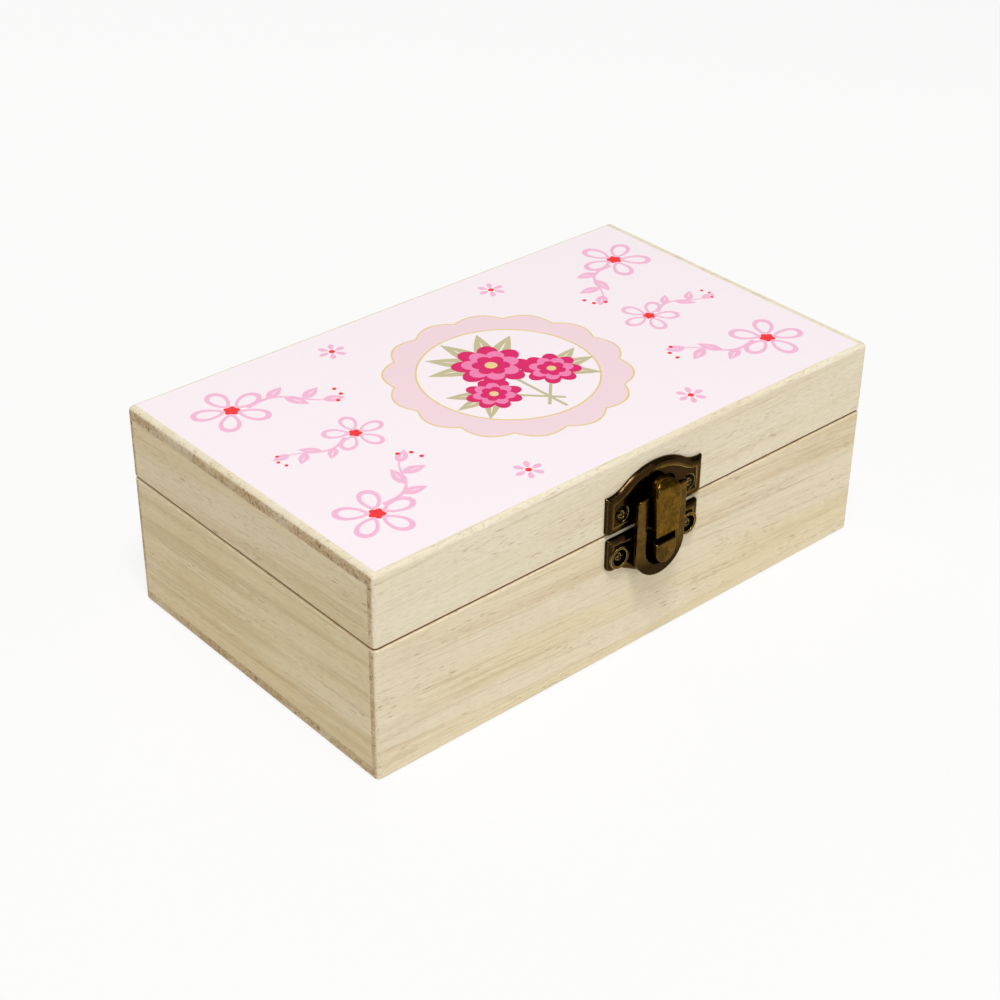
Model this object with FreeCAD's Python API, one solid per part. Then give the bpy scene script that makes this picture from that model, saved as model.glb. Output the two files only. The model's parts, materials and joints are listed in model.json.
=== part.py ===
import FreeCAD, Part
import math
import os

# Wooden keepsake box with a hinged lid and a toggle latch, in millimetres.
# The origin is the centre of the underside, X runs along the box,
# the front with the latch faces -Y and Z is up.

# Box
box_length = 200.0
box_width = 118.0
box_height = 70.0
base_height = 45.2
seam_gap = 0.5
wall = 8.0
top_panel_thickness = 4.0
bottom_panel_thickness = 4.0
corner_lip = 2.4
corner_radius = 1.7
top_edge_radius = 1.7
bottom_edge_radius = 0.9
rim_chamfer = 0.5
joint_chamfer = 0.2

# Screws: how much of the wall stays whole behind a screw, and the room around its shank
screw_end_cover = 2.0
screw_clearance = 0.05
cross_length_share = 0.6
cross_width_share = 0.16
cross_depth_share = 0.45

# Butt hinges on the back
hinge_inset = 37.0
leaf_width = 26.0
leaf_height = 11.0
leaf_thickness = 0.9
leaf_start = 0.5
leaf_corner_radius = 2.0
knuckle_radius = 1.75
knuckle_count = 5
knuckle_gap = 0.3
hinge_clearance = 0.3
hinge_pin_radius = 0.9
hinge_pin_fit = 0.03
hinge_running_fit = 0.08
hinge_pin_head_radius = 1.45
hinge_pin_head_length = 0.8
hinge_pin_head_round = 0.4
hinge_screw_pitch = 15.0
hinge_screw_rise = 6.6
hinge_screw_head_radius = 1.7
hinge_screw_head_height = 0.6
hinge_screw_shank_radius = 0.9

# Latch plates: heights count from the seam, depths from the front of the wood
latch_offset = 4.8
plate_thickness = 1.6
plate_edge_thickness = 0.5
plate_border_steps = 3
plate_ridge = 0.5
plate_field_drop = 0.35
upper_plate_width = 39.4
upper_plate_gap = 0.4
upper_plate_height = 18.7
upper_plate_ear_height = 13.1
upper_plate_corner = 1.7
upper_plate_bevel = 2.3
arch_width = 25.6
arch_rise = 4.0
upper_screw_spacing = 27.6
upper_screw_rise = 6.2
lower_plate_width = 37.8
lower_plate_gap = 1.4
lower_plate_height = 17.8
lower_plate_ear_height = 11.5
lower_plate_corner = 2.8
lower_plate_top_corner = 0.9
lower_plate_bevel = 2.0
lobe_shoulder_width = 27.2
lobe_tip_width = 10.0
lobe_tip_rise = 1.7
lower_screw_spacing = 28.6
lower_screw_drop = 8.4
dimple_radius = 2.8
dimple_depth = 0.8
boss_radius = 3.7
boss_rise = 0.4
latch_screw_head_radius = 2.15
latch_screw_head_height = 1.0
latch_screw_shank_radius = 1.1

# Latch lever, a hollow tombstone that turns on a pin between two lugs
lever_width = 10.4
lever_foot_width = 8.8
lever_wall = 0.9
lever_top = 14.8
lever_tail = 2.65
lever_tail_depth = 1.4
lever_heel = 2.0
lever_brow_rise = 7.5
lever_brow_radius = 12.8
lever_round = 0.6
lever_clearance = 0.3
lever_pivot_rise = -0.8
lever_pivot_depth = 5.2
lever_pin_radius = 0.55
lever_pin_fit = 0.02
lever_running_fit = 0.06
lug_radius = 1.0
lug_thickness = 1.3
lug_foot_low = 0.5
lug_foot_high = 5.0

# Latch loop, a flat U that hangs on a round bar in the lever
loop_pivot_rise = 7.4
loop_bar_width = 4.0
loop_thickness = 1.6
loop_side_gap = 0.8
loop_top = 10.1
loop_bend_drop = 8.85
loop_corner = 1.2
loop_round = 0.4
loop_running_fit = 0.08
loop_hole_edge = 1.1

# Strike nose that the loop catches on
strike_depth = 7.2
strike_top_drop = 5.6
strike_side_gap = 1.5
strike_bottom_gap = 1.0
strike_draft = 0.5
strike_round = 0.5

# Cuts run this far past the faces that they open, and edges are told apart by this much
overrun = 1.0
tolerance = 0.001

Vector = FreeCAD.Vector
along_x = Vector(1, 0, 0)
along_y = Vector(0, 1, 0)
along_z = Vector(0, 0, 1)

half_length = box_length / 2
half_width = box_width / 2
seam_height = base_height + seam_gap / 2
screw_depth = wall - screw_end_cover
hinge_axis_y = half_width + knuckle_radius + hinge_clearance
hinge_centres = {"left": hinge_inset - half_length, "right": half_length - hinge_inset}
dimple_floor = plate_thickness - dimple_depth

half_lever = lever_width / 2
half_foot = lever_foot_width / 2
lever_back = plate_thickness + lever_clearance
lever_front_inside = lever_pivot_depth + lug_radius + lever_clearance
lever_front = lever_front_inside + lever_wall
loop_bar_radius = loop_thickness / 2
loop_hole_radius = loop_bar_radius + loop_running_fit
loop_depth = lever_back + loop_hole_edge + loop_hole_radius
half_loop_inside = half_lever + loop_side_gap
half_loop_outside = half_loop_inside + loop_bar_width


def block(x_span, y_span, z_span):
    """Box between the two ends of each span."""
    corner = Vector(x_span[0], y_span[0], z_span[0])
    return Part.makeBox(x_span[1] - x_span[0], y_span[1] - y_span[0], z_span[1] - z_span[0], corner)


def rod(start, end, radius):
    """Round rod between two points."""
    return Part.makeCylinder(radius, (end - start).Length, start, end - start)


def edges_at(shape, height):
    """Edges that lie wholly at one height."""
    found = []
    for edge in shape.Edges:
        lowest = edge.BoundBox.ZMin
        highest = edge.BoundBox.ZMax
        if abs(lowest - height) < tolerance and abs(highest - height) < tolerance:
            found.append(edge)
    return found


def line(start, end):
    """Straight edge."""
    return Part.LineSegment(start, end).toShape()


def arc_leaving(start, end, heading):
    """Arc from start to end that leaves start along heading."""
    chord = end - start
    ahead = Vector(chord).normalize()
    aside = heading - ahead * heading.dot(ahead)
    aside.normalize()
    bulge = chord.Length / 2 * math.tan(heading.getAngle(chord) / 2)
    middle = start + chord / 2 + aside * bulge
    return Part.Arc(start, middle, end).toShape()


def slab(edges, low, high):
    """Prism over a closed outline in the XY plane, between two depths."""
    face = Part.Face(Part.Wire(Part.__sortEdges__(edges)))
    face.translate(along_z * low)
    return face.extrude(along_z * (high - low))


def mirrored(point):
    """The same point on the other side of the middle line."""
    return Vector(-point.x, point.y, point.z)


def single(shape):
    """The one solid that a cut or a union leaves."""
    return shape.removeSplitter().Solids[0]


def envelope(z_low, z_high):
    """Outer form of the box between two heights, with its upright corners rounded."""
    form = block((-half_length, half_length), (-half_width, half_width), (z_low, z_high))
    uprights = [edge for edge in form.Edges if edge.BoundBox.ZLength > tolerance]
    return form.makeFillet(corner_radius, uprights)


def carcass(z_low, z_high, rim):
    """Four boards of the base or the lid: the long boards lap over the ends with a thin lip."""
    form = envelope(z_low, z_high)
    form = form.makeChamfer(rim_chamfer, edges_at(form, rim))
    boards = {}
    for name, side in (("front", -1), ("back", 1)):
        outer = side * half_width
        lip = side * (half_width - corner_lip)
        inner = side * (half_width - wall)
        board = block((-half_length, half_length), sorted((outer, inner)), (z_low, z_high))
        for end in (-1, 1):
            x_span = sorted((end * (half_length + overrun), end * (half_length - wall)))
            y_span = sorted((lip, inner - side * overrun))
            board = board.cut(block(x_span, y_span, (z_low - overrun, z_high + overrun)))
        boards[name] = single(board.common(form))
    for name, end in (("left_end", -1), ("right_end", 1)):
        x_span = sorted((end * half_length, end * (half_length - wall)))
        y_span = (corner_lip - half_width, half_width - corner_lip)
        boards[name] = single(block(x_span, y_span, (z_low, z_high)).common(form))
    return boards


def top_panel():
    """Panel laid over the lid's boards, rounded along its top edges."""
    form = envelope(box_height - top_panel_thickness, box_height)
    return form.makeFillet(top_edge_radius, edges_at(form, box_height))


def bottom_panel():
    """Panel under the base's boards, that the box stands on, eased along the joint above it."""
    form = envelope(0, bottom_panel_thickness)
    form = form.makeFillet(bottom_edge_radius, edges_at(form, 0))
    return form.makeChamfer(joint_chamfer, edges_at(form, bottom_panel_thickness))


def screw(head_radius, head_height, shank_radius, shank_length):
    """Dome-head screw along Z, its head seated at zero, with a cross recess."""
    dome_radius = (head_radius ** 2 + head_height ** 2) / (2 * head_height)
    half_turn = math.asin(head_radius / dome_radius) / 2
    centre = head_height - dome_radius
    rim = Vector(head_radius, 0, 0)
    middle = Vector(dome_radius * math.sin(half_turn), 0, centre + dome_radius * math.cos(half_turn))
    crown = Vector(0, 0, head_height)
    foot = Vector(0, 0, -shank_length)
    shank_end = Vector(shank_radius, 0, -shank_length)
    shank_top = Vector(shank_radius, 0, 0)
    outline = [
        Part.Arc(rim, middle, crown).toShape(),
        line(crown, foot),
        line(foot, shank_end),
        line(shank_end, shank_top),
        line(shank_top, rim),
    ]
    body = Part.Face(Part.Wire(outline)).revolve(Vector(), along_z, 360)
    half_cross = head_radius * cross_length_share
    half_slot = head_radius * cross_width_share
    slot_floor = head_height * (1 - cross_depth_share)
    for x_half, y_half in ((half_cross, half_slot), (half_slot, half_cross)):
        slot = block((-x_half, x_half), (-y_half, y_half), (slot_floor, head_height + overrun))
        body = body.cut(slot)
    return single(body)


def on_face(shape, x, side, seat, z):
    """Turn a piece made along Z to stand out of the front (-1) or the back (1)."""
    placed = shape.copy()
    placed.rotate(Vector(), along_x, -side * 90)
    placed.translate(Vector(x, side * (half_width + seat), z))
    return placed


def pilot_holes(board, places, side, shank_radius):
    """Screw holes from the outer face of a long board."""
    for x, z in places:
        start = Vector(x, side * (half_width + overrun), z)
        end = Vector(x, side * (half_width - screw_depth), z)
        board = board.cut(rod(start, end, shank_radius + screw_clearance))
    return single(board)


def hinge_screw_places(up):
    """Centres of the hinge screws on the lid (1) or on the base (-1)."""
    places = []
    for centre in hinge_centres.values():
        for end in (-1, 1):
            x = centre + end * hinge_screw_pitch / 2
            places.append((x, seam_height + up * hinge_screw_rise))
    return places


def knuckle_spans(centre):
    """X spans of the knuckles along a hinge's barrel."""
    pitch = (leaf_width + knuckle_gap) / knuckle_count
    start = centre - leaf_width / 2
    lows = [start + step * pitch for step in range(knuckle_count)]
    return [(low, low + pitch - knuckle_gap) for low in lows]


def hinge_leaf(centre, up, first, bore_radius):
    """Leaf on the lid (1) or the base (-1) that owns every second knuckle, from the first one."""
    far = seam_height + up * leaf_height
    x_span = (centre - leaf_width / 2, centre + leaf_width / 2)
    y_span = (half_width, half_width + leaf_thickness)
    leaf = block(x_span, y_span, sorted((seam_height + up * leaf_start, far)))
    corners = [edge for edge in edges_at(leaf, far) if edge.BoundBox.YLength > tolerance]
    leaf = leaf.makeFillet(leaf_corner_radius, corners)
    notch = sorted((seam_height, seam_height + up * (knuckle_radius + hinge_clearance)))
    spans = knuckle_spans(centre)
    for number, (x_low, x_high) in enumerate(spans):
        if number % 2 == first:
            start = Vector(x_low, hinge_axis_y, seam_height)
            end = Vector(x_high, hinge_axis_y, seam_height)
            leaf = leaf.fuse(rod(start, end, knuckle_radius))
        else:
            clear_x = (x_low - knuckle_gap, x_high + knuckle_gap)
            clear_y = (half_width - overrun, half_width + leaf_thickness + overrun)
            leaf = leaf.cut(block(clear_x, clear_y, notch))
    barrel_start = Vector(x_span[0] - overrun, hinge_axis_y, seam_height)
    barrel_end = Vector(x_span[1] + overrun, hinge_axis_y, seam_height)
    leaf = leaf.cut(rod(barrel_start, barrel_end, bore_radius))
    for x, z in hinge_screw_places(up):
        start = Vector(x, half_width - overrun, z)
        end = Vector(x, half_width + leaf_thickness + overrun, z)
        leaf = leaf.cut(rod(start, end, hinge_screw_shank_radius + screw_clearance))
    return single(leaf)


def hinge_pin(centre):
    """Pin with a rounded head at each end of the barrel."""
    reach = leaf_width / 2 + hinge_clearance
    start = Vector(centre - reach, hinge_axis_y, seam_height)
    end = Vector(centre + reach, hinge_axis_y, seam_height)
    pin = rod(start, end, hinge_pin_radius)
    for seat, outward in ((start, -1), (end, 1)):
        tip = seat + along_x * outward * hinge_pin_head_length
        head = rod(seat, tip, hinge_pin_head_radius)
        rim = [edge for edge in head.Edges if abs(edge.CenterOfMass.x - tip.x) < tolerance]
        pin = pin.fuse(head.makeFillet(hinge_pin_head_round, rim))
    return single(pin)


def on_latch(shape):
    """Put a latch piece on the front: its Y is the height above the seam, its Z the depth."""
    placed = shape.copy()
    placed.rotate(Vector(), along_x, 90)
    placed.translate(Vector(latch_offset, -half_width, seam_height))
    return placed


def stamped_plate(edges, bevel):
    """Plate whose border rounds up from a thin edge to a ridge round a sunk field."""
    outline = Part.Face(Part.Wire(Part.__sortEdges__(edges)))
    plate = slab(edges, 0, plate_edge_thickness)
    lower = outline.OuterWire
    lower.translate(along_z * plate_edge_thickness)
    for step in range(plate_border_steps):
        turn = math.radians(90) * (step + 1) / plate_border_steps
        upper = outline.makeOffset2D(bevel * (math.cos(turn) - 1)).OuterWire
        rise = (plate_thickness - plate_edge_thickness) * math.sin(turn)
        upper.translate(along_z * (plate_edge_thickness + rise))
        plate = plate.fuse(Part.makeLoft([lower, upper], True, True))
        lower = upper
    field = outline.makeOffset2D(-bevel - plate_ridge)
    field.translate(along_z * (plate_thickness - plate_field_drop))
    return single(plate.cut(field.extrude(along_z * (plate_field_drop + overrun))))


def screw_dimple(plate, x, height):
    """Sunk seat and hole for a latch screw."""
    centre = Vector(x, height, 0)
    front = centre + along_z * (plate_thickness + boss_rise + overrun)
    plate = plate.cut(rod(centre + along_z * dimple_floor, front, dimple_radius))
    return plate.cut(rod(centre - along_z * overrun, front, latch_screw_shank_radius + screw_clearance))


def upper_outline():
    """Upright sides with pointed ears, joined by an arch that sweeps up out of them."""
    half = upper_plate_width / 2
    bottom = upper_plate_gap
    apex = bottom + upper_plate_height
    foot = Vector(half - upper_plate_corner, bottom, 0)
    side = Vector(half, bottom + upper_plate_corner, 0)
    ear = Vector(half, bottom + upper_plate_ear_height, 0)
    spring = Vector(arch_width / 2, apex - arch_rise, 0)
    arch_radius = (spring.x ** 2 + arch_rise ** 2) / (2 * arch_rise)
    fall = math.asin(spring.x / arch_radius)
    outward = Vector(math.cos(fall), -math.sin(fall), 0)
    edges = [line(mirrored(foot), foot), Part.Arc(mirrored(spring), Vector(0, apex, 0), spring).toShape()]
    edges.append(arc_leaving(foot, side, along_x))
    edges.append(line(side, ear))
    edges.append(arc_leaving(spring, ear, outward))
    edges.append(arc_leaving(mirrored(foot), mirrored(side), -along_x))
    edges.append(line(mirrored(side), mirrored(ear)))
    edges.append(arc_leaving(mirrored(spring), mirrored(ear), mirrored(outward)))
    return edges


def lower_outline():
    """Straight top, rounded lower corners and a lobe that hangs down in the middle."""
    half = lower_plate_width / 2
    top = -lower_plate_gap
    flat = top - lower_plate_ear_height
    tip = top - lower_plate_height
    head = Vector(half - lower_plate_top_corner, top, 0)
    side_top = Vector(half, top - lower_plate_top_corner, 0)
    side_low = Vector(half, flat + lower_plate_corner, 0)
    corner = Vector(half - lower_plate_corner, flat, 0)
    shoulder = Vector(lobe_shoulder_width / 2, flat, 0)
    lobe = Vector(lobe_tip_width / 2, tip + lobe_tip_rise, 0)
    edges = [line(mirrored(head), head), Part.Arc(mirrored(lobe), Vector(0, tip, 0), lobe).toShape()]
    edges.append(arc_leaving(head, side_top, along_x))
    edges.append(line(side_top, side_low))
    edges.append(arc_leaving(side_low, corner, -along_y))
    edges.append(line(corner, shoulder))
    edges.append(line(shoulder, lobe))
    edges.append(arc_leaving(mirrored(head), mirrored(side_top), -along_x))
    edges.append(line(mirrored(side_top), mirrored(side_low)))
    edges.append(arc_leaving(mirrored(side_low), mirrored(corner), -along_y))
    edges.append(line(mirrored(corner), mirrored(shoulder)))
    edges.append(line(mirrored(shoulder), mirrored(lobe)))
    return edges


def side_prism(points, half):
    """Prism along X over an outline of depth and height pairs."""
    corners = [Vector(-half, height, depth) for depth, height in points]
    face = Part.Face(Part.makePolygon(corners + corners[:1]))
    return face.extrude(along_x * (2 * half))


def lug(side):
    """Ear of the upper plate that carries one end of the lever's pin."""
    outer = half_foot - lever_wall - lever_clearance
    root = plate_edge_thickness
    profile = [
        (root, upper_plate_gap + lug_foot_low),
        (lever_pivot_depth, lever_pivot_rise - lug_radius),
        (lever_pivot_depth, lever_pivot_rise + lug_radius),
        (root, upper_plate_gap + lug_foot_high),
    ]
    web = side_prism(profile, lug_thickness / 2)
    start = Vector(-lug_thickness / 2, lever_pivot_rise, lever_pivot_depth)
    end = Vector(lug_thickness / 2, lever_pivot_rise, lever_pivot_depth)
    ear = web.fuse(rod(start, end, lug_radius))
    ear.translate(along_x * side * (outer - lug_thickness / 2))
    return ear


def pivot_rod(half, rise, depth, radius):
    """Rod across the latch at one of its pivots."""
    return rod(Vector(-half, rise, depth), Vector(half, rise, depth), radius)


def upper_plate():
    """Plate on the lid with the two lugs."""
    plate = stamped_plate(upper_outline(), upper_plate_bevel)
    for side in (-1, 1):
        plate = screw_dimple(plate, side * upper_screw_spacing / 2, upper_screw_rise)
        plate = plate.fuse(lug(side))
    bore = pivot_rod(half_lever, lever_pivot_rise, lever_pivot_depth, lever_pin_radius + lever_pin_fit)
    return single(plate.cut(bore))


def strike_section(draft, depth):
    """D-shaped section of the strike nose, drawn in by the draft."""
    half = half_loop_inside - strike_side_gap - draft
    top = -strike_top_drop - draft
    bottom = strike_bottom_gap + draft - loop_bend_drop - half_loop_inside
    spring = bottom + half
    left = Vector(-half, spring, depth)
    right = Vector(half, spring, depth)
    top_left = Vector(-half, top, depth)
    top_right = Vector(half, top, depth)
    bend = Part.Arc(left, Vector(0, bottom, depth), right).toShape()
    return Part.Wire([bend, line(right, top_right), line(top_right, top_left), line(top_left, left)])


def lower_plate():
    """Plate on the base with a raised ring round each screw and the strike nose."""
    plate = stamped_plate(lower_outline(), lower_plate_bevel)
    for side in (-1, 1):
        centre = Vector(side * lower_screw_spacing / 2, -lower_screw_drop, 0)
        plate = plate.fuse(rod(centre, centre + along_z * (plate_thickness + boss_rise), boss_radius))
        plate = screw_dimple(plate, centre.x, centre.y)
    root = strike_section(0, plate_edge_thickness)
    nose = Part.makeLoft([root, strike_section(strike_draft, strike_depth)], True, True)
    nose = nose.makeFillet(strike_round, edges_at(nose, strike_depth))
    return single(plate.fuse(nose))


def tombstone(inset, bottom):
    """Slab with a round head that narrows to its foot, drawn in from the lever's outside."""
    half = half_lever - inset
    top = lever_top - inset
    shoulder = Vector(half, top - half, 0)
    foot = Vector(half_foot - inset, bottom, 0)
    edges = [Part.Arc(mirrored(shoulder), Vector(0, top, 0), shoulder).toShape()]
    edges.append(line(shoulder, foot))
    edges.append(line(foot, mirrored(foot)))
    edges.append(line(mirrored(foot), mirrored(shoulder)))
    return slab(edges, 0, lever_front + overrun)


def lever_profile(front, back, low, low_depth):
    """Side of the lever: straight front with a brow that curves back to the crown."""
    heel = lever_pivot_rise + lever_heel
    rise = math.sqrt(lever_brow_radius ** 2 - (lever_brow_radius - front + back) ** 2)
    crown = Vector(-half_lever, lever_brow_rise + rise, back)
    points = [
        crown,
        Vector(-half_lever, heel, back),
        Vector(-half_lever, low, low_depth),
        Vector(-half_lever, low, front),
        Vector(-half_lever, lever_brow_rise, front),
    ]
    edges = [line(start, end) for start, end in zip(points, points[1:])]
    edges.append(arc_leaving(points[-1], crown, along_y))
    return Part.Face(Part.Wire(edges)).extrude(along_x * lever_width)


def lever_shell():
    """Solid form of the lever with the edges of its face rounded."""
    tail = lever_pivot_rise - lever_tail
    form = tombstone(0, tail)
    form = form.common(lever_profile(lever_front, lever_back, tail, lever_front - lever_tail_depth))
    rims = []
    for edge in form.Edges:
        box = edge.BoundBox
        below_brow = box.YMin < lever_brow_rise - tolerance
        on_face = below_brow and box.ZMin > lever_front - tolerance
        on_crown = not below_brow and min(box.XLength, box.ZLength) > tolerance
        if on_face or on_crown:
            rims.append(edge)
    return form.makeFillet(lever_round, rims)


def lever():
    """Hollow lever, open towards the box, with holes for its pin and for the loop's bar."""
    tail = lever_pivot_rise - lever_tail
    hollow = tombstone(lever_wall, tail - overrun)
    hollow = hollow.common(lever_profile(lever_front_inside, 0, tail - overrun, 0))
    pin_hole_radius = lever_pin_radius + lever_running_fit
    pin_hole = pivot_rod(half_lever, lever_pivot_rise, lever_pivot_depth, pin_hole_radius)
    bar_hole = pivot_rod(half_lever, loop_pivot_rise, loop_depth, loop_hole_radius)
    return single(lever_shell().cut(hollow).cut(pin_hole).cut(bar_hole))


def loop():
    """Flat U with a round bar across its open end."""
    bend = -loop_bend_drop
    outer = Vector(half_loop_outside, bend, 0)
    inner = Vector(half_loop_inside, bend, 0)
    outer_top = Vector(half_loop_outside, loop_top - loop_corner, 0)
    inner_top = Vector(half_loop_inside, loop_top, 0)
    corner = Vector(half_loop_outside - loop_corner, loop_top, 0)
    edges = [
        Part.Arc(mirrored(outer), Vector(0, bend - half_loop_outside, 0), outer).toShape(),
        Part.Arc(mirrored(inner), Vector(0, bend - half_loop_inside, 0), inner).toShape(),
        arc_leaving(outer_top, corner, along_y),
        arc_leaving(mirrored(outer_top), mirrored(corner), along_y),
    ]
    for start, end in ((outer, outer_top), (corner, inner_top), (inner_top, inner)):
        edges.append(line(start, end))
        edges.append(line(mirrored(start), mirrored(end)))
    front = loop_depth + loop_thickness / 2
    strap = slab(edges, loop_depth - loop_thickness / 2, front)
    strap = strap.makeFillet(loop_round, edges_at(strap, front))
    bar = pivot_rod(half_loop_inside + loop_bar_radius, loop_pivot_rise, loop_depth, loop_bar_radius)
    return single(strap.fuse(bar))


def latch_screw_places(spacing, height):
    """Centres of a latch plate's two screws on the front of the box."""
    return [(latch_offset + side * spacing / 2, seam_height + height) for side in (-1, 1)]


def screw_set(places, side, seat, head_radius, head_height, shank_radius):
    """A group of like screws through one plate's thickness into the wood."""
    one = screw(head_radius, head_height, shank_radius, seat + screw_depth)
    return Part.makeCompound([on_face(one, x, side, seat, z) for x, z in places])


def latch_screws(places):
    """Screws of one latch plate, seated in its dimples."""
    sizes = (latch_screw_head_radius, latch_screw_head_height, latch_screw_shank_radius)
    return screw_set(places, -1, dimple_floor, *sizes)


def hinge_screws(up):
    """Screws of both hinge leaves on the lid (1) or on the base (-1)."""
    sizes = (hinge_screw_head_radius, hinge_screw_head_height, hinge_screw_shank_radius)
    return screw_set(hinge_screw_places(up), 1, leaf_thickness, *sizes)


def build():
    """Every piece of the box by its name."""
    upper_screws = latch_screw_places(upper_screw_spacing, upper_screw_rise)
    lower_screws = latch_screw_places(lower_screw_spacing, -lower_screw_drop)
    base = carcass(bottom_panel_thickness, base_height, base_height)
    lid_bottom = base_height + seam_gap
    lid = carcass(lid_bottom, box_height - top_panel_thickness, lid_bottom)
    base["front"] = pilot_holes(base["front"], lower_screws, -1, latch_screw_shank_radius)
    lid["front"] = pilot_holes(lid["front"], upper_screws, -1, latch_screw_shank_radius)
    base["back"] = pilot_holes(base["back"], hinge_screw_places(-1), 1, hinge_screw_shank_radius)
    lid["back"] = pilot_holes(lid["back"], hinge_screw_places(1), 1, hinge_screw_shank_radius)
    pieces = {"base_" + name: board for name, board in base.items()}
    pieces["bottom_panel"] = bottom_panel()
    pieces.update({"lid_" + name: board for name, board in lid.items()})
    pieces["lid_top_panel"] = top_panel()
    fixed_bore = hinge_pin_radius + hinge_pin_fit
    running_bore = hinge_pin_radius + hinge_running_fit
    for name, centre in hinge_centres.items():
        pieces["hinge_" + name + "_base_leaf"] = hinge_leaf(centre, -1, 0, fixed_bore)
        pieces["hinge_" + name + "_lid_leaf"] = hinge_leaf(centre, 1, 1, running_bore)
        pieces["hinge_" + name + "_pin"] = hinge_pin(centre)
    pieces["hinge_base_screws"] = hinge_screws(-1)
    pieces["hinge_lid_screws"] = hinge_screws(1)
    pieces["latch_upper_plate"] = on_latch(upper_plate())
    pieces["latch_upper_screws"] = latch_screws(upper_screws)
    pieces["latch_lower_plate"] = on_latch(lower_plate())
    pieces["latch_lower_screws"] = latch_screws(lower_screws)
    pieces["latch_lever"] = on_latch(lever())
    pin = pivot_rod(half_foot, lever_pivot_rise, lever_pivot_depth, lever_pin_radius)
    pieces["latch_lever_pin"] = on_latch(pin)
    pieces["latch_loop"] = on_latch(loop())
    return pieces


os.makedirs("parts", exist_ok=True)
for node, shape in build().items():
    shape.exportStep("parts/" + node + ".step")
    print(node, len(shape.Solids), shape.isValid(), round(shape.Volume, 1))
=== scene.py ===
import json
import math

import bmesh
import bpy
from mathutils import Matrix, Vector
from mathutils.geometry import tessellate_polygon


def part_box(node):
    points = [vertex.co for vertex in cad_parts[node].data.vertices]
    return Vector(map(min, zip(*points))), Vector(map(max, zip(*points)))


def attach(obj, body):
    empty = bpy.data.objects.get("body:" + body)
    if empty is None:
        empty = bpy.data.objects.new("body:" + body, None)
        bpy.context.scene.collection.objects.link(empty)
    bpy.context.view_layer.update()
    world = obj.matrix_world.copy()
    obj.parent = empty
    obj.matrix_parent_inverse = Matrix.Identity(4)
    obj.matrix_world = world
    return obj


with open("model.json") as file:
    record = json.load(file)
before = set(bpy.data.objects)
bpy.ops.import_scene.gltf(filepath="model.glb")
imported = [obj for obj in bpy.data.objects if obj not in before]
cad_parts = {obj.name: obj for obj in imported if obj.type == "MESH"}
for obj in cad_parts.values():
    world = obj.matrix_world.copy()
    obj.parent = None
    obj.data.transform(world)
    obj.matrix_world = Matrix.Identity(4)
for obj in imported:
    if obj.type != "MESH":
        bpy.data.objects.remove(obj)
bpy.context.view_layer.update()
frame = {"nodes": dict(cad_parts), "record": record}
nodes = frame["nodes"]

# Lengths are in metres. The frame gives every size of the box itself.
MM = 0.001
panel_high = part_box("lid_top_panel")[1]
seam_height = (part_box("base_front")[1].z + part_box("lid_front")[0].z) / 2
latch_low, latch_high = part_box("latch_loop")

# Camera at the photograph's viewing angle, aimed at a point near the middle of the box
CAMERA_AZIMUTH = math.radians(-41.643)
CAMERA_ELEVATION = math.radians(32.658)
CAMERA_ROLL = math.radians(0.623)
CAMERA_DISTANCE = 0.64859
CAMERA_TARGET = Vector((-0.00289, 0.0, 0.02481))
CAMERA_LENS = 73.25

# The print stops this far from each edge of the lid's top
PRINT_LEFT_MARGIN = 2.2 * MM
PRINT_RIGHT_MARGIN = 3.0 * MM
PRINT_SIDE_MARGIN = 1.6 * MM

# Each ink lies one step higher than the last, and the shapes of one ink lie at levels of their own
INK_STEP = 0.02 * MM
SHAPE_LEVELS = 20
SHAPE_LEVEL_SHARE = 0.04

# Print: petals are given by length, width and start, places in millimetres from the middle of the lid
SPRAY_PETAL = (10.5 * MM, 8 * MM, 2 * MM)
SPRAY_HEART = 2.3 * MM
STEM_START = 5 * MM
STEM_REACH = 23 * MM
STEM_SWAY = 3.4 * MM
STEM_TURN = 4.4
STEM_WIDTH = 1.3 * MM
STEM_TAPER = 0.8 * MM
SPRAY_LEAF_WIDTH = 3.8 * MM
BERRY_RADIUS = 0.7 * MM
SMALL_PETAL = (3.4 * MM, 2.2 * MM, 1.3 * MM)
SMALL_HEART = 1.0 * MM
MEDALLION_RADIUS = 36 * MM
MEDALLION_HOLE = 28.5 * MM
SCALLOP_DEPTH = 2.8 * MM
SCALLOP_COUNT = 14
GOLD_HALF_LINE = 0.3 * MM
BUNCH_FOOT = Vector((0, -19 * MM))
BUNCH_STEM_WIDTH = 1.0 * MM

# Leaves of a spray: share of the stem, lean in radians and length in millimetres; then its berries
SPRAY_LEAVES = ((0.30, 0.75, 8), (0.52, -0.85, 9), (0.74, 0.70, 8), (0.97, -0.1, 7))
SPRAY_BERRIES = ((31.5, -5), (33.5, -1.5), (32.5, 2))
# Sprays: place, turn in degrees, size and whether it is mirrored
SPRAYS = (
    (-78, 36, -20, 1.0, False), (-80, -36, 32, 1.0, True), (-58, 2, 180, 0.8, False),
    (78, -36, 160, 1.0, False), (80, 36, 212, 1.0, True), (60, -1, 0, 0.8, False),
)
SMALL_FLOWERS = ((-33, 46), (33, 46), (-33, -46), (33, -46))
# Flowers of the bunch: place and radius in millimetres, turn, and the turns of the leaves in degrees
BUNCH = (
    (-1, 7, 12.5, 0.2, (32, 62, 100, 132, 160)),
    (-12, -7, 9, 0.5, (150, 182, 225)),
    (12, -6.5, 9.5, 0.9, (20, -10, -48)),
)
# Rings of petals in a flower: reach, number of petals and shift
PEONY_RINGS = ((1.0, 8, 0.0), (0.74, 7, 0.5), (0.48, 6, 0.2))

# Points on a closed curve of the print
CURVE_POINTS = 48
DISC_POINTS = 24
RING_POINTS = 120
SCALLOP_POINTS = 210
BLADE_STEPS = 16

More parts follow.
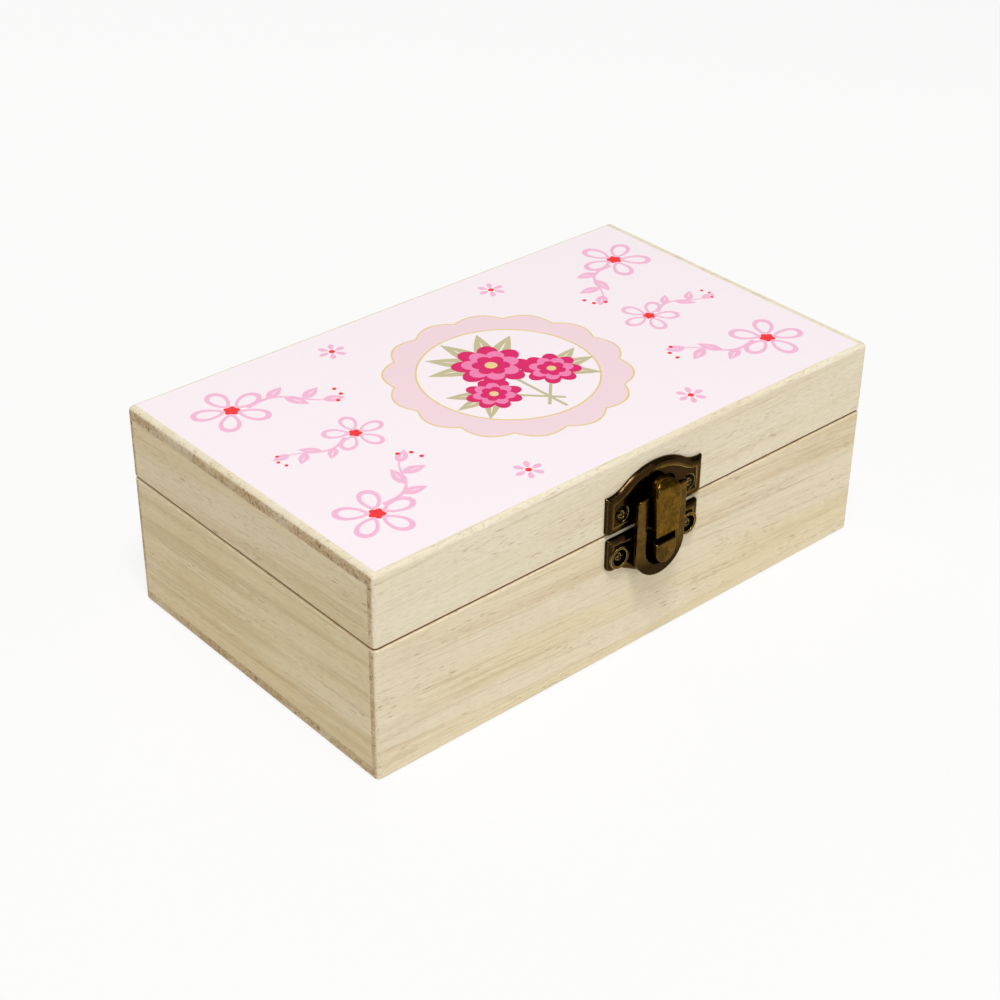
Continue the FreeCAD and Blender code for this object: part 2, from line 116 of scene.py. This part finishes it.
# Length and width of the grains in the timber
TONE_GRAIN = (120 * MM, 16 * MM)
BAND_GRAIN = (120 * MM, 6 * MM)
STREAK_GRAIN = (45 * MM, 0.9 * MM)
GLEAM_GRAIN = (10 * MM, 0.7 * MM)
FIBRE_GRAIN = (3.2 * MM, 0.34 * MM)
PORE_GRAIN = (4.5 * MM, 0.42 * MM)
CLUSTER_GRAIN = (26 * MM, 6 * MM)
WOOD_RELIEF = 0.1 * MM
INK_FIBRE_DENSITY = (60.0, 1200.0, 1.0)
GRAIN_LEAN = math.radians(3.5)

# Specks per metre in the rough end grain and on the eased edges
SPECKLE_DENSITY = 900.0
PIT_DENSITY = 620.0
PATCH_DENSITY = 70.0
CHIP_DENSITY = 650.0

# The brown tint on the seam's rims, partly a browned saw cut and partly painted shade that browns the
# shaded gap, fades out this far in from the outside, and this far from the seam
SAW_BURN_AND_SHADE_DEPTH = (1.0 * MM, 1.6 * MM)
SAW_BURN_AND_SHADE_REACH = (1.2 * MM, 2.0 * MM)

# Plating: rounding of worn edges, reach of the dark recesses, height of the ridges above the wood
WORN_EDGE_RADIUS = 0.40 * MM
RECESS_REACH = 2.5 * MM
RIDGE_HEIGHT = (1.52 * MM, 1.60 * MM)
# Painted shade on the loop's bend deepens over this height, downwards from where the bend starts
PAINTED_SHADE_SPAN = 6 * MM
PLATING_RELIEF = 0.05 * MM
MOTTLE_DENSITY = 1500.0
CLOUD_DENSITY = 240.0

# Floor and surround: the surround is seen at the tone of the far floor, so that no horizon shows
FLOOR_HALF = 6.0
FLOOR_LEVEL = -0.1 * MM
FLOOR_GLOW_SHARE = 0.8
SURROUND_LEVEL = 0.32
SURROUND_IN_METAL = 0.16
SURROUND_SEEN = 0.86

# Lamps: name, place, size in metres and power in watts
LAMPS = (
    ("front", Vector((0.5, -1.45, 0.5)), 0.9, 2.6),
    ("back", Vector((0.4, 1.5, 0.7)), 0.9, 3.0),
    ("top", Vector((-0.45, -0.72, 2.15)), 0.60, 34.4),
)


def srgb(red, green, blue):
    """Linear colour of an 8-bit screen colour."""
    linear = []
    for channel in (red, green, blue):
        share = channel / 255
        linear.append(share / 12.92 if share <= 0.04045 else ((share + 0.055) / 1.055) ** 2.4)
    return (*linear, 1.0)


class Shader:
    """A node material put together by short calls, each of which returns an output socket."""

    def __init__(self, name):
        self.material = bpy.data.materials.new(name)
        self.material.use_nodes = True
        self.tree = self.material.node_tree
        self.surface = self.tree.nodes["Principled BSDF"]

    def feed(self, socket, value):
        """Link an output to a socket, or set the socket's own value."""
        if isinstance(value, bpy.types.NodeSocket):
            self.tree.links.new(value, socket)
        else:
            socket.default_value = value

    def node(self, kind, inputs, output=0, **settings):
        """Add one node with its inputs and settings."""
        made = self.tree.nodes.new("ShaderNode" + kind)
        for name, value in settings.items():
            setattr(made, name, value)
        for socket, value in inputs.items():
            self.feed(made.inputs[socket], value)
        return made.outputs[output]

    def math(self, operation, first, second=0.0):
        return self.node("Math", {0: first, 1: second}, operation=operation)

    def fade(self, value, low, high, to_low=0.0, to_high=1.0):
        """Smooth step of a value between two limits."""
        inputs = {0: value, 1: low, 2: high, 3: to_low, 4: to_high}
        return self.node("MapRange", inputs, interpolation_type="SMOOTHSTEP")

    def mix(self, factor, first, second, blend="MIX"):
        inputs = {0: factor, 6: first, 7: second}
        return self.node("Mix", inputs, output=2, data_type="RGBA", blend_type=blend)

    def noise(self, vector, scale, detail=2.0, roughness=0.5):
        inputs = {"Vector": vector, "Scale": scale, "Detail": detail, "Roughness": roughness}
        return self.node("TexNoise", inputs)

    def shade(self, **inputs):
        """Set or link the surface's own sockets."""
        for name, value in inputs.items():
            self.feed(self.surface.inputs[name.replace("_", " ")], value)
        return self.material


def wood(name, grain, light, dark, seed, figure, tilt=0.0):
    """Pale sanded timber: bands, fibres and flecks, rough end grain, and at the seam a brown tint on the
    rims that is partly a browned saw cut and partly painted shade.
    """
    shader = Shader(name)
    place = shader.node("TexCoord", {}, output=3)
    normal = shader.node("TexCoord", {}, output=1)
    turn = (0.0, tilt, 0.0) if grain == "x" else (tilt, 0.0, math.radians(90))
    board = shader.node("Mapping", {"Vector": place, "Location": (seed, seed, seed), "Rotation": turn})

    def grains(length, width, detail=2.0, roughness=0.5):
        """Noise whose grains are this long and this wide."""
        scale = (1 / length, 1 / width, 1 / width)
        stretched = shader.node("VectorMath", {0: board, 1: scale}, operation="MULTIPLY")
        return shader.noise(stretched, 1.0, detail, roughness)

    tone = grains(*TONE_GRAIN, 3.0)
    band = shader.fade(grains(*BAND_GRAIN, 3.0), 0.46, 0.68)
    streak = shader.fade(grains(*STREAK_GRAIN), 0.56, 0.70)
    gleam = shader.fade(grains(*GLEAM_GRAIN), 0.42, 0.28)
    fibre = grains(*FIBRE_GRAIN, 4.0, 0.7)
    pores = shader.fade(grains(*PORE_GRAIN, 1.0), 0.62, 0.73)
    clusters = shader.fade(grains(*CLUSTER_GRAIN), 0.47, 0.64)
    fleck = shader.math("MULTIPLY", pores, clusters)

    colour = shader.mix(shader.fade(tone, 0.36, 0.66), light, dark)
    colour = shader.mix(shader.math("MULTIPLY", band, figure), colour, srgb(206, 178, 128))
    colour = shader.mix(shader.math("MULTIPLY", streak, 0.25), colour, srgb(184, 152, 102))
    colour = shader.mix(shader.math("MULTIPLY", gleam, 0.30), colour, srgb(250, 242, 222))
    colour = shader.mix(shader.fade(fibre, 0.46, 0.72, 0.0, 0.38), colour, srgb(190, 162, 118))
    colour = shader.mix(shader.math("MULTIPLY", fleck, 0.60), colour, srgb(146, 106, 58))

    facing = shader.tree.nodes.new("ShaderNodeSeparateXYZ")
    shader.feed(facing.inputs[0], normal)
    split = shader.tree.nodes.new("ShaderNodeSeparateXYZ")
    shader.feed(split.inputs[0], place)

    cut = shader.fade(shader.math("ABSOLUTE", facing.outputs[grain.upper()]), 0.75, 0.95)
    speckle = shader.noise(place, SPECKLE_DENSITY, 4.0, 0.75)
    pits = shader.fade(shader.noise(place, PIT_DENSITY, 3.0, 0.65), 0.55, 0.64)
    end_colour = shader.mix(shader.fade(speckle, 0.36, 0.66), srgb(210, 184, 140), srgb(172, 138, 92))
    end_colour = shader.mix(shader.math("MULTIPLY", pits, 0.85), end_colour, srgb(104, 72, 36))
    patches = shader.fade(shader.noise(place, PATCH_DENSITY, 3.0), 0.35, 0.60, 0.5, 0.95)
    colour = shader.mix(shader.math("MULTIPLY", cut, patches), colour, end_colour)

    sides = [shader.math("ABSOLUTE", facing.outputs[axis]) for axis in "XYZ"]
    squarest = shader.math("MAXIMUM", shader.math("MAXIMUM", sides[0], sides[1]), sides[2])
    chips = shader.fade(shader.noise(place, CHIP_DENSITY, 3.0, 0.6), 0.58, 0.68)
    chipped = shader.math("MULTIPLY", chips, shader.fade(squarest, 0.97, 0.88))
    colour = shader.mix(shader.math("MULTIPLY", chipped, 0.35), colour, srgb(166, 128, 76))

    # Brown tint on the level rim faces near the outside at the seam: partly a browned saw cut, partly
    # painted shade that warms the shaded gap
    away = shader.math("ABSOLUTE", shader.math("SUBTRACT", split.outputs["Z"], seam_height))
    level = shader.fade(sides[2], 0.85, 0.97)
    from_side = shader.math("SUBTRACT", panel_high.y, shader.math("ABSOLUTE", split.outputs["Y"]))
    from_end = shader.math("SUBTRACT", panel_high.x, shader.math("ABSOLUTE", split.outputs["X"]))
    outer = shader.fade(shader.math("MINIMUM", from_side, from_end), SAW_BURN_AND_SHADE_DEPTH[1], SAW_BURN_AND_SHADE_DEPTH[0])
    near = shader.fade(away, SAW_BURN_AND_SHADE_REACH[1], SAW_BURN_AND_SHADE_REACH[0])
    saw_burn_and_shade = shader.math("MULTIPLY", shader.math("MULTIPLY", level, outer), near)
    colour = shader.mix(shader.math("MULTIPLY", saw_burn_and_shade, 0.75), colour, srgb(184, 122, 62))

    dents = shader.math("MULTIPLY", cut, shader.math("ADD", pits, shader.math("MULTIPLY", speckle, 2.0)))
    hollows = shader.math("ADD", shader.math("MULTIPLY", fleck, 1.2), shader.math("ADD", dents, chipped))
    height = shader.math("SUBTRACT", fibre, hollows)
    bump = shader.node("Bump", {"Height": height, "Strength": 0.45, "Distance": WOOD_RELIEF})
    rough = shader.fade(fibre, 0.3, 0.8, 0.60, 0.75)
    return shader.shade(Base_Color=colour, Roughness=rough, Specular_IOR_Level=0.3, Normal=bump)


def ink(name, colour):
    """Matt printing ink, a little uneven over the fibres of the wood below."""
    shader = Shader(name)
    place = shader.node("TexCoord", {}, output=3)
    stretched = shader.node("VectorMath", {0: place, 1: INK_FIBRE_DENSITY}, operation="MULTIPLY")
    fibre = shader.noise(stretched, 1.0, 3.0)
    shade = shader.mix(1.0, colour, srgb(254, 254, 254), "MULTIPLY")
    tint = shader.mix(shader.fade(fibre, 0.4, 0.75), colour, shade)
    bump = shader.node("Bump", {"Height": fibre, "Strength": 0.05, "Distance": INK_STEP})
    return shader.shade(Base_Color=tint, Roughness=0.6, Specular_IOR_Level=0.2, Normal=bump)


def bronze(name, body, rubbed, wear, painted_shade_from=None):
    """Antique plating: near black in the recesses, rubbed on raised faces, bright on the edges; below a
    given height, painted shade darkens it downwards.
    """
    shader = Shader(name)
    place = shader.node("TexCoord", {}, output=3)
    normal = shader.node("NewGeometry", {}, output=1)
    rounded = shader.node("Bevel", {"Radius": WORN_EDGE_RADIUS}, samples=8)
    agree = shader.node("VectorMath", {0: rounded, 1: normal}, output=1, operation="DOT_PRODUCT")
    edge = shader.fade(agree, 0.99, 0.88)
    shelter = shader.node("AmbientOcclusion", {"Distance": RECESS_REACH}, output=1, samples=8)
    split = shader.tree.nodes.new("ShaderNodeSeparateXYZ")
    shader.feed(split.inputs[0], place)
    stand = shader.math("SUBTRACT", shader.math("ABSOLUTE", split.outputs["Y"]), panel_high.y)
    ridge = shader.fade(stand, *RIDGE_HEIGHT, 0.0, 0.55)
    mottle = shader.noise(place, MOTTLE_DENSITY, 5.0, 0.72)
    cloud = shader.noise(place, CLOUD_DENSITY)
    thin = shader.math("ADD", ridge, wear)
    thin = shader.math("MULTIPLY", thin, shader.fade(cloud, 0.3, 0.65, 0.45, 1.0))
    thin = shader.math("MULTIPLY", thin, shader.fade(mottle, 0.34, 0.66, 0.35, 1.0))
    worn = shader.math("MULTIPLY", edge, shader.fade(mottle, 0.30, 0.62, 0.5, 1.0))
    colour = shader.mix(thin, body, rubbed)
    # Painted shade: darker towards the bottom of the loop's bend, which faces down into shadow; its
    # bright edges fade there too
    if painted_shade_from:
        painted_shade = shader.fade(split.outputs["Z"], painted_shade_from, painted_shade_from - PAINTED_SHADE_SPAN, 0.0, 0.9)
        colour = shader.mix(painted_shade, colour, srgb(26, 15, 6))
        worn = shader.math("MULTIPLY", worn, shader.math("SUBTRACT", 1.0, painted_shade))
    colour = shader.mix(worn, colour, srgb(206, 174, 108))
    colour = shader.mix(shader.fade(shelter, 0.92, 0.42), colour, srgb(6, 4, 2))
    relief = {"Height": mottle, "Strength": 0.10, "Distance": PLATING_RELIEF, "Normal": rounded}
    grain = shader.node("Bump", relief)
    rough = shader.fade(mottle, 0.3, 0.75, 0.10, 0.24)
    sheen = srgb(228, 212, 190)
    shader.shade(Base_Color=colour, Metallic=1.0, Roughness=rough, Specular_Tint=sheen, Normal=grain)
    return shader.shade(Coat_Weight=0.05, Coat_Roughness=0.05, Coat_Normal=rounded)


def dress(material, *names):
    """Give CAD nodes one material."""
    for name in names:
        data = nodes[name].data
        data.materials.clear()
        data.materials.append(material)


def dress_wood():
    """Every board has its own piece of timber; the ends are a shade yellower than the long sides."""
    pale = srgb(241, 231, 205)
    cream = srgb(238, 226, 197)
    warm = srgb(236, 221, 185)
    tan = srgb(230, 210, 167)
    long_boards = {"front": 0.0, "back": 4.0}
    end_boards = {"left_end": 8.0, "right_end": 12.0}
    for side, seed in long_boards.items():
        lid = "lid_" + side
        base = "base_" + side
        dress(wood(lid + "_wood", "x", pale, cream, seed + 0.3, 0.20), lid)
        dress(wood(base + "_wood", "x", cream, warm, seed + 1.7, 0.40, -GRAIN_LEAN), base)
    for side, seed in end_boards.items():
        lid = "lid_" + side
        base = "base_" + side
        dress(wood(lid + "_wood", "y", warm, tan, seed + 0.3, 0.40, GRAIN_LEAN), lid)
        dress(wood(base + "_wood", "y", warm, tan, seed + 1.7, 0.55, GRAIN_LEAN), base)
    dress(wood("top_wood", "x", pale, cream, 16.0, 0.2), "lid_top_panel")
    dress(wood("bottom_wood", "x", cream, warm, 20.0, 0.3), "bottom_panel")


def dress_metal():
    """Plating by the record's slots; the loop's bend gets painted shade, darker towards its bottom."""
    bend = latch_low.z + (latch_high.x - latch_low.x) / 2
    finishes = {
        "antique_bronze": bronze("antique_bronze", srgb(40, 26, 10), srgb(140, 106, 42), 0.06),
        "rubbed_brass": bronze("rubbed_brass", srgb(48, 32, 8), srgb(126, 93, 25), 0.55),
        "dark_steel": bronze("dark_steel", srgb(38, 27, 14), srgb(150, 124, 76), 0.06),
    }
    for part in frame["record"]["subparts"]:
        if part["material_slot"] in finishes:
            dress(finishes[part["material_slot"]], part["node"])
    # The loop's bend gets painted shade below the height where the bend starts
    dress(bronze("loop_bronze", srgb(60, 42, 15), srgb(130, 100, 42), 0.10, bend), "latch_loop")


def placed(outline, centre, angle=0.0, size=1.0):
    """Turn, scale and move a flat outline."""
    c = math.cos(angle) * size
    s = math.sin(angle) * size
    return [(centre[0] + x * c - y * s, centre[1] + x * s + y * c) for x, y in outline]


def around(radius, points=CURVE_POINTS):
    """Closed outline from a radius given as a function of the angle."""
    angles = [math.tau * step / points for step in range(points)]
    return [(radius(angle) * math.cos(angle), radius(angle) * math.sin(angle)) for angle in angles]


def disc(radius):
    return around(lambda angle: radius, DISC_POINTS)


def teardrop(length, width, start=0.0):
    """Petal or leaf along X with its point near the start."""
    outline = []
    for step in range(CURVE_POINTS):
        turn = math.tau * step / CURVE_POINTS
        reach = start + length * (1 - math.cos(turn)) / 2
        outline.append((reach, width / 2 * math.sin(turn) * (0.35 + 0.65 * math.sin(turn / 2))))
    return outline


def ribbon(path, width, points=CURVE_POINTS):
    """Tapered stroke along a path; both are functions of a share from 0 to 1."""
    left = []
    right = []
    for step in range(points):
        share = step / (points - 1)
        here = Vector(path(share))
        ahead = Vector(path(share + 0.01)) - Vector(path(share - 0.01))
        aside = Vector((-ahead.y, ahead.x)).normalized() * width(share) / 2
        left.append(tuple(here + aside))
        right.append(tuple(here - aside))
    return left + right[::-1]


def leaf(length, width):
    """Pointed leaf along X with a slit for its rib."""
    shares = [step / BLADE_STEPS for step in range(BLADE_STEPS + 1)]

    def blade(start, reach, half):
        upper = [(start + reach * share, half * math.sin(math.pi * share ** 0.8)) for share in shares]
        lower = [(x, -y) for x, y in upper[-2:0:-1]]
        return upper + lower

    slit = blade(0.3 * length, 0.5 * length, width / 18)
    return [blade(0, length, width / 2), slit[::-1]]


def loop_petal(length, width, start):
    """Petal drawn as a stroke that swells towards its tip: an outline and its hole."""
    outer = teardrop(length, width, start)
    inner = teardrop(length * 0.70, width * 0.62, start + length * 0.13)
    return [outer, inner[::-1]]


def spray_stem(share):
    """Path of a spray's stem, away from its blossom."""
    return (STEM_START + STEM_REACH * share, STEM_SWAY * math.sin(STEM_TURN * share))


def spray(centre, angle, size, mirror):
    """Five-petalled blossom with a leafy stem: its pink shapes and its red ones."""
    petal = loop_petal(*SPRAY_PETAL)
    pink = [[placed(ring, (0, 0), math.tau * (k + 0.5) / 5) for ring in petal] for k in range(5)]
    pink.append([ribbon(spray_stem, lambda share: STEM_WIDTH - STEM_TAPER * share)])
    for share, lean, length in SPRAY_LEAVES:
        blade = leaf(length * MM, SPRAY_LEAF_WIDTH)
        pink.append([placed(ring, spray_stem(share), lean) for ring in blade])
    red = [[around(lambda turn: SPRAY_HEART * (1 + 0.16 * math.cos(5 * turn)))]]
    for x, y in SPRAY_BERRIES:
        red.append([placed(disc(BERRY_RADIUS), (x * MM, y * MM))])

    def settle(shape):
        rings = []
        for ring in shape:
            flipped = [(x, -y) for x, y in ring] if mirror else ring
            rings.append(placed(flipped, centre, angle, size))
        return rings

    return [settle(shape) for shape in pink], [settle(shape) for shape in red]


def peony(centre, radius, turn):
    """Layered flower from the outermost petals inwards, as lists of shapes."""
    layers = []
    for reach, count, shift in PEONY_RINGS:
        length = radius * reach
        petal = teardrop(length, length * 5.3 / count)
        turns = [turn + math.tau * (k + shift) / count for k in range(count)]
        layers.append([[placed(petal, centre, angle)] for angle in turns])
    return layers


def print_layer(name, colour, shapes, layer):
    """One ink on the lid: thin closed shapes, each an outline with any holes."""
    low = panel_high.z - INK_STEP
    work = bmesh.new()
    for number, rings in enumerate(shapes):
        high = panel_high.z + INK_STEP * (layer + number % SHAPE_LEVELS * SHAPE_LEVEL_SHARE)
        flat = [Vector((x, y, 0)) for ring in rings for x, y in ring]
        under = [work.verts.new((p.x, p.y, low)) for p in flat]
        over = [work.verts.new((p.x, p.y, high)) for p in flat]
        for triangle in tessellate_polygon([[Vector((x, y, 0)) for x, y in ring] for ring in rings]):
            work.faces.new([over[k] for k in triangle])
            work.faces.new([under[k] for k in reversed(triangle)])
        first = 0
        for ring in rings:
            for k in range(len(ring)):
                a = first + k
                b = first + (k + 1) % len(ring)
                work.faces.new((under[a], under[b], over[b], over[a]))
            first += len(ring)
    bmesh.ops.recalc_face_normals(work, faces=work.faces)
    mesh = bpy.data.meshes.new(name)
    work.to_mesh(mesh)
    work.free()
    mesh.materials.append(ink(name + "_ink", colour))
    piece = bpy.data.objects.new(name, mesh)
    bpy.context.scene.collection.objects.link(piece)
    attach(piece, "lid")


def print_lid():
    """Blossom sprays round a scalloped medallion that holds a bunch of flowers, on a pale pink field."""
    west = PRINT_LEFT_MARGIN - panel_high.x
    east = panel_high.x - PRINT_RIGHT_MARGIN
    north = panel_high.y - PRINT_SIDE_MARGIN
    field = [(west, -north), (east, -north), (east, north), (west, north)]

    pink = []
    red = []
    for x, y, degrees, size, mirror in SPRAYS:
        more_pink, more_red = spray((x * MM, y * MM), math.radians(degrees), size, mirror)
        pink += more_pink
        red += more_red
    for x, y in SMALL_FLOWERS:
        centre = (x * MM, y * MM)
        red.append([placed(disc(SMALL_HEART), centre)])
        for k in range(6):
            pink.append([placed(teardrop(*SMALL_PETAL), centre, math.tau * k / 6)])

    def scallop(radius):
        def reach(angle):
            return radius + SCALLOP_DEPTH * abs(math.sin(SCALLOP_COUNT / 2 * angle))

        return around(reach, SCALLOP_POINTS)

    def ring(radius):
        return around(lambda angle: radius, RING_POINTS)

    def line(outline, radius):
        return [outline(radius + GOLD_HALF_LINE), outline(radius - GOLD_HALF_LINE)[::-1]]

    rose = [[scallop(MEDALLION_RADIUS), ring(MEDALLION_HOLE)[::-1]]]
    gold = [line(scallop, MEDALLION_RADIUS), line(ring, MEDALLION_HOLE)]

    leaves = []
    petals = [[], [], []]
    hearts = []
    for x, y, radius, turn, leaf_turns in BUNCH:
        centre = Vector((x * MM, y * MM))
        for degrees in leaf_turns:
            blade = leaf(radius * 1.65 * MM, radius * 0.5 * MM)
            leaves.append([placed(outline, centre, math.radians(degrees)) for outline in blade])
        end = BUNCH_FOOT + (BUNCH_FOOT - centre) * 0.28
        leaves.append([ribbon(lambda share: centre.lerp(end, share), lambda share: BUNCH_STEM_WIDTH)])
        for layer, shapes in zip(petals, peony(centre, radius * MM, turn)):
            layer += shapes
        hearts.append([placed(disc(radius * 0.16 * MM), centre)])

    print_layer("print_field", srgb(251, 240, 244), [[field]], 1)
    print_layer("print_rose", srgb(244, 217, 223), rose, 2)
    print_layer("print_gold", srgb(232, 207, 142), gold, 3)
    print_layer("print_pink", srgb(247, 188, 215), pink, 3)
    print_layer("print_red", srgb(248, 58, 60), red, 4)
    print_layer("print_leaf", srgb(200, 192, 150), leaves, 4)
    print_layer("print_petal_outer", srgb(224, 40, 108), petals[0], 5)
    print_layer("print_petal_middle", srgb(244, 134, 180), petals[1], 6)
    print_layer("print_petal_inner", srgb(224, 40, 108), petals[2], 7)
    print_layer("print_flower_heart", srgb(240, 212, 148), hearts, 8)


def add_floor():
    """Pale floor that stays white to the camera, keeps the shadow and is open from below."""
    mesh = bpy.data.meshes.new("floor")
    signs = ((-1, -1), (1, -1), (1, 1), (-1, 1))
    corners = [(x * FLOOR_HALF, y * FLOOR_HALF, FLOOR_LEVEL) for x, y in signs]
    mesh.from_pydata(corners, [], [(0, 1, 2, 3)])
    floor = bpy.data.objects.new("floor", mesh)
    bpy.context.scene.collection.objects.link(floor)
    shader = Shader("pale_floor")
    shader.shade(Base_Color=srgb(240, 239, 237), Roughness=0.9)
    seen = shader.node("LightPath", {}, output="Is Camera Ray")
    mirrored = shader.node("LightPath", {}, output="Is Glossy Ray")
    share = shader.math("MULTIPLY", shader.math("MAXIMUM", seen, mirrored), FLOOR_GLOW_SHARE)
    glow = shader.node("Emission", {"Color": (1, 1, 1, 1), "Strength": 1.0})
    blend = shader.node("MixShader", {0: share, 1: shader.surface.outputs[0], 2: glow})
    below = shader.node("NewGeometry", {}, output="Backfacing")
    clear = shader.node("BsdfTransparent", {})
    sheet = shader.node("MixShader", {0: below, 1: blend, 2: clear})
    shader.feed(shader.tree.nodes["Material Output"].inputs[0], sheet)
    mesh.materials.append(shader.material)


def add_light():
    """Soft studio light: a pale surround, a softbox above and to the left, fills in front and behind."""
    world = bpy.data.worlds.new("studio")
    bpy.context.scene.world = world
    world.use_nodes = True
    tree = world.node_tree
    background = tree.nodes["Background"]
    background.inputs[0].default_value = (1, 1, 1, 1)
    path = tree.nodes.new("ShaderNodeLightPath")
    level = tree.nodes.new("ShaderNodeMapRange")
    tree.links.new(path.outputs["Is Glossy Ray"], level.inputs[0])
    level.inputs[3].default_value = SURROUND_LEVEL
    level.inputs[4].default_value = SURROUND_IN_METAL
    seen = tree.nodes.new("ShaderNodeMix")
    tree.links.new(path.outputs["Is Camera Ray"], seen.inputs[0])
    tree.links.new(level.outputs[0], seen.inputs[2])
    seen.inputs[3].default_value = SURROUND_SEEN
    tree.links.new(seen.outputs[0], background.inputs[1])
    for name, spot, size, power in LAMPS:
        lamp = bpy.data.lights.new(name, "AREA")
        lamp.size = size
        lamp.energy = power
        holder = bpy.data.objects.new(name, lamp)
        holder.location = spot
        holder.rotation_euler = (CAMERA_TARGET - spot).to_track_quat("-Z", "Y").to_euler()
        bpy.context.scene.collection.objects.link(holder)


def add_camera():
    data = bpy.data.cameras.new("camera")
    data.lens = CAMERA_LENS
    camera = bpy.data.objects.new("camera", data)
    bpy.context.scene.collection.objects.link(camera)
    level = math.cos(CAMERA_ELEVATION)
    right = Vector((math.cos(CAMERA_AZIMUTH), math.sin(CAMERA_AZIMUTH), 0))
    back = Vector((right.y * level, -right.x * level, math.sin(CAMERA_ELEVATION)))
    up = back.cross(right)
    turn = Matrix((right, up, back)).transposed() @ Matrix.Rotation(CAMERA_ROLL, 3, "Z")
    place = Matrix.Translation(CAMERA_TARGET + back * CAMERA_DISTANCE)
    camera.matrix_world = place @ turn.to_4x4()
    bpy.context.scene.camera = camera


dress_wood()
dress_metal()
print_lid()
add_floor()
add_light()
add_camera()
bpy.context.scene.view_settings.view_transform = "Standard"
